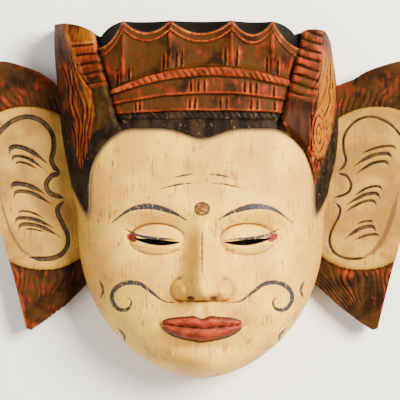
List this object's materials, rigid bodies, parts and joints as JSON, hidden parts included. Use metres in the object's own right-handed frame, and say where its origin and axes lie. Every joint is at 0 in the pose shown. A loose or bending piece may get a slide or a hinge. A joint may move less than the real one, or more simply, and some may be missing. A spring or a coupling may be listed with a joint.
{
  "type": "topeng mask",
  "caption": "Carved and painted wooden dance mask, hollow behind, with a scalloped crown, ribbed side locks and a carved ear board at each side; it lies face up on its back rim.",
  "frame": {"origin": "on the floor under the middle of the mask as it lies on its back rim, face up", "axes": "+X across the face to the mask's proper left, the right of the picture; +Y from the chin to the crown; +Z out of the face"},
  "size_m": [0.2565, 0.2101, 0.0791],
  "materials": {
    "face_paint": "aged cream paint on carved wood, with a dark red and brown headdress",
    "ear_board_paint": "worn red and brown paint on carved wood, with a cream ear"
  },
  "bodies": {
    "root": {"mask_block": "face_paint", "left_ear_board": "ear_board_paint", "right_ear_board": "ear_board_paint"}
  },
  "joints": []
}
